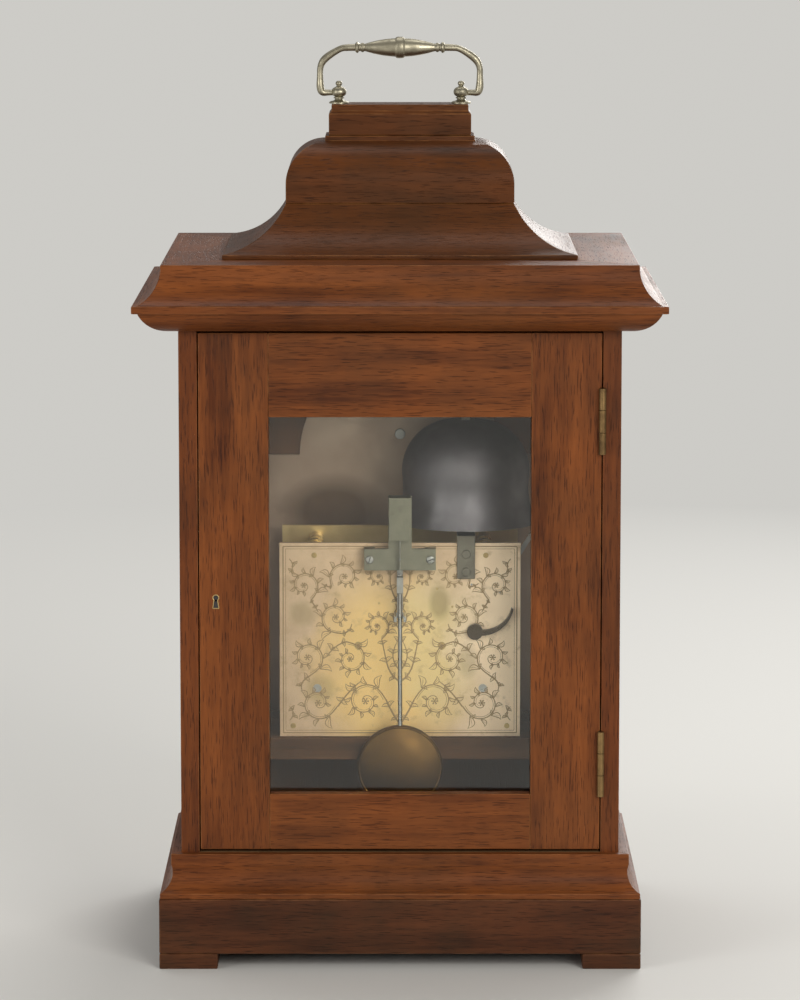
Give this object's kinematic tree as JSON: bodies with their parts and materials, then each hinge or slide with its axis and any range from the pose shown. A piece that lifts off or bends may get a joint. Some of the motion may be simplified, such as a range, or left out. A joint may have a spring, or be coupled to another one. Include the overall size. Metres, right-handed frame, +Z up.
{
  "type": "bracket clock",
  "caption": "Bell-top wooden bracket clock with a bail handle, glazed front and back doors, an arched brass dial, and a spring-driven striking movement with a short pendulum.",
  "frame": {"origin": "on the table, under the middle of the plinth", "axes": "+Z up, the dial faces -Y, the glazed back door faces +Y, +X is to the right when the dial is looked at"},
  "size_m": [0.288, 0.238, 0.505],
  "materials": {
    "mahogany": "french polished, figured mahogany, worn at the edges",
    "case_inside": "oak and pine carcase wood, unpolished",
    "polished_brass": "lacquered brass, a little dulled",
    "handle_brass": "old cast brass, tarnished",
    "engraved_brass": "engraved and lacquered brass plate",
    "silvered_brass": "silvered, with filled numerals",
    "gilt_brass": "cast and gilt",
    "blued_steel": "fire blued",
    "steel": "polished steel",
    "bell_metal": "bell metal, dark patina",
    "glass": "thin old crown glass",
    "gut": "twisted gut"
  },
  "bodies": {
    "case": {"plinth": "mahogany", "base_moulding": "mahogany", "case_boards": "case_inside", "case_sides": "mahogany", "side_frets": "polished_brass", "cornice": "mahogany", "bell_top": "mahogany", "handle_pommels": "handle_brass", "dial_mask": "mahogany", "case_hinge_leaves": "polished_brass", "seatboard": "case_inside", "dial_plate": "engraved_brass", "chapter_ring": "silvered_brass", "spandrels": "gilt_brass", "front_plate": "engraved_brass", "back_plate": "engraved_brass", "plate_pillars": "polished_brass", "barrel_arbors": "steel", "back_cock": "polished_brass", "suspension_spring": "steel", "bell": "bell_metal", "bell_stand": "steel", "hammer_spring": "blued_steel", "gut_lines": "gut"},
    "handle": {"handle_bail": "handle_brass"},
    "front_door": {"front_door_frame": "mahogany", "front_door_glass": "glass", "front_door_sight_ring": "polished_brass", "front_door_hinge_leaves": "polished_brass", "front_door_lock": "polished_brass"},
    "front_door_bolt": {"front_door_bolt": "steel"},
    "back_door": {"back_door_frame": "mahogany", "back_door_glass": "glass", "back_door_hinge_leaves": "polished_brass", "back_door_lock": "polished_brass"},
    "back_door_bolt": {"back_door_bolt": "steel"},
    "centre_arbor": {"centre_wheel": "polished_brass", "cannon_wheel": "polished_brass", "minute_hand": "blued_steel"},
    "hour_hand": {"hour_wheel": "polished_brass", "hour_hand": "blued_steel"},
    "minute_wheel": {"minute_wheel": "polished_brass"},
    "third_wheel": {"third_wheel": "polished_brass"},
    "escape_wheel": {"escape_wheel": "polished_brass"},
    "going_great_wheel": {"going_great_wheel": "polished_brass"},
    "going_fusee": {"going_fusee": "polished_brass"},
    "going_barrel": {"going_barrel": "polished_brass"},
    "pendulum": {"pendulum_rod": "steel"},
    "pendulum_bob": {"pendulum_bob": "polished_brass"},
    "rating_nut": {"rating_nut": "polished_brass"},
    "pallets": {"pallets": "steel"},
    "strike_great_wheel": {"strike_great_wheel": "polished_brass"},
    "strike_fusee": {"strike_fusee": "polished_brass"},
    "strike_barrel": {"strike_barrel": "polished_brass"},
    "pin_wheel": {"pin_wheel": "polished_brass"},
    "gathering_wheel": {"gathering_wheel": "polished_brass"},
    "warning_wheel": {"warning_wheel": "polished_brass"},
    "fly": {"fly": "steel"},
    "hammer": {"bell_hammer": "steel"},
    "strike_silent_hand": {"strike_silent_hand": "blued_steel"}
  },
  "joints": [
    {"name": "handle_swing", "type": "hinge", "parent": "case", "child": "handle", "pos_m": [0, 0, 0.474], "axis": [1, 0, 0], "range_deg": [-118, 118]},
    {"name": "front_door_swing", "type": "hinge", "parent": "case", "child": "front_door", "pos_m": [0.1222, -0.07675, 0.205], "axis": [0, 0, 1], "range_deg": [0, 115]},
    {"name": "front_bolt_throw", "type": "slide", "parent": "front_door", "child": "front_door_bolt", "axis": [-1, 0, 0], "range_m": [0, 0.0045]},
    {"name": "back_door_swing", "type": "hinge", "parent": "case", "child": "back_door", "pos_m": [-0.1097, 0.0972, 0.205], "axis": [0, 0, 1], "range_deg": [0, 110]},
    {"name": "back_bolt_throw", "type": "slide", "parent": "back_door", "child": "back_door_bolt", "axis": [1, 0, 0], "range_m": [0, 0.0045]},
    {"name": "hands_turn", "type": "hinge", "parent": "case", "child": "centre_arbor", "pos_m": [0, 0, 0.177], "axis": [0, 1, 0], "continuous": true},
    {"name": "hour_hand_turn", "type": "hinge", "parent": "case", "child": "hour_hand", "pos_m": [0, 0, 0.177], "axis": [0, 1, 0], "continuous": true},
    {"name": "minute_wheel_turn", "type": "hinge", "parent": "case", "child": "minute_wheel", "pos_m": [0, 0, 0.1575], "axis": [0, 1, 0], "continuous": true},
    {"name": "third_wheel_turn", "type": "hinge", "parent": "case", "child": "third_wheel", "pos_m": [0.01176, 0, 0.18967], "axis": [0, 1, 0], "continuous": true},
    {"name": "escape_wheel_turn", "type": "hinge", "parent": "case", "child": "escape_wheel", "pos_m": [0, 0, 0.199], "axis": [0, 1, 0], "continuous": true},
    {"name": "going_great_wheel_turn", "type": "hinge", "parent": "case", "child": "going_great_wheel", "pos_m": [0.02337, 0, 0.1656], "axis": [0, 1, 0], "continuous": true},
    {"name": "going_winding", "type": "hinge", "parent": "case", "child": "going_fusee", "pos_m": [0.02337, 0, 0.1656], "axis": [0, 1, 0], "range_deg": [0, 5760], "deforming": ["gut_lines"]},
    {"name": "going_barrel_turn", "type": "hinge", "parent": "case", "child": "going_barrel", "pos_m": [0.04647, 0, 0.1414], "axis": [0, 1, 0], "range_deg": [0, 3456]},
    {"name": "pendulum_swing", "type": "hinge", "parent": "case", "child": "pendulum", "pos_m": [0, 0.038, 0.216], "axis": [0, 1, 0], "range_deg": [-3, 3], "deforming": ["suspension_spring"]},
    {"name": "bob_rise", "type": "slide", "parent": "pendulum", "child": "pendulum_bob", "axis": [0, 0, 1], "range_m": [-0.0025, 0.0025]},
    {"name": "rating_nut_turn", "type": "hinge", "parent": "pendulum_bob", "child": "rating_nut", "pos_m": [0, 0.038, 0.073], "axis": [0, 0, 1], "range_deg": [-1810, 1810]},
    {"name": "pallets_rock", "type": "hinge", "parent": "case", "child": "pallets", "pos_m": [0, 0.038, 0.216], "axis": [0, 1, 0], "range_deg": [-3, 3]},
    {"name": "strike_great_wheel_turn", "type": "hinge", "parent": "case", "child": "strike_great_wheel", "pos_m": [-0.02337, 0, 0.1656], "axis": [0, 1, 0], "continuous": true},
    {"name": "strike_winding", "type": "hinge", "parent": "case", "child": "strike_fusee", "pos_m": [-0.02337, 0, 0.1656], "axis": [0, 1, 0], "range_deg": [-5760, 0]},
    {"name": "strike_barrel_turn", "type": "hinge", "parent": "case", "child": "strike_barrel", "pos_m": [-0.04647, 0, 0.1414], "axis": [0, 1, 0], "range_deg": [-3456, 0]},
    {"name": "pin_wheel_turn", "type": "hinge", "parent": "case", "child": "pin_wheel", "pos_m": [-0.02932, 0, 0.18782], "axis": [0, 1, 0], "continuous": true},
    {"name": "gathering_wheel_turn", "type": "hinge", "parent": "case", "child": "gathering_wheel", "pos_m": [-0.02071, 0, 0.19808], "axis": [0, 1, 0], "continuous": true},
    {"name": "warning_wheel_turn", "type": "hinge", "parent": "case", "child": "warning_wheel", "pos_m": [-0.03053, 0, 0.20375], "axis": [0, 1, 0], "continuous": true},
    {"name": "fly_turn", "type": "hinge", "parent": "case", "child": "fly", "pos_m": [-0.04, 0, 0.20031], "axis": [0, 1, 0], "continuous": true},
    {"name": "hammer_lift", "type": "hinge", "parent": "case", "child": "hammer", "pos_m": [-0.056, 0, 0.196], "axis": [0, 1, 0], "range_deg": [-12, 0], "stiffness_Nm_per_rad": 0.02, "deforming": ["hammer_spring"]},
    {"name": "strike_silent_turn", "type": "hinge", "parent": "case", "child": "strike_silent_hand", "pos_m": [0, 0, 0.274], "axis": [0, 1, 0], "range_deg": [-40, 40]}
  ],
  "couplings": [
    {"joint": "hour_hand_turn", "follows": "hands_turn", "ratio": 0.083333},
    {"joint": "minute_wheel_turn", "follows": "hands_turn", "ratio": -1},
    {"joint": "third_wheel_turn", "follows": "hands_turn", "ratio": -12},
    {"joint": "escape_wheel_turn", "follows": "hands_turn", "ratio": 144},
    {"joint": "going_great_wheel_turn", "follows": "hands_turn", "ratio": -0.083333},
    {"joint": "going_barrel_turn", "follows": "going_winding", "ratio": 0.6},
    {"joint": "strike_barrel_turn", "follows": "strike_winding", "ratio": 0.6},
    {"joint": "pallets_rock", "follows": "pendulum_swing", "ratio": 1},
    {"joint": "rating_nut_turn", "follows": "bob_rise", "rad_per_m": 12566},
    {"joint": "pin_wheel_turn", "follows": "strike_great_wheel_turn", "ratio": -10.5},
    {"joint": "gathering_wheel_turn", "follows": "strike_great_wheel_turn", "ratio": 90},
    {"joint": "warning_wheel_turn", "follows": "strike_great_wheel_turn", "ratio": -720},
    {"joint": "fly_turn", "follows": "strike_great_wheel_turn", "ratio": 4320}
  ]
}
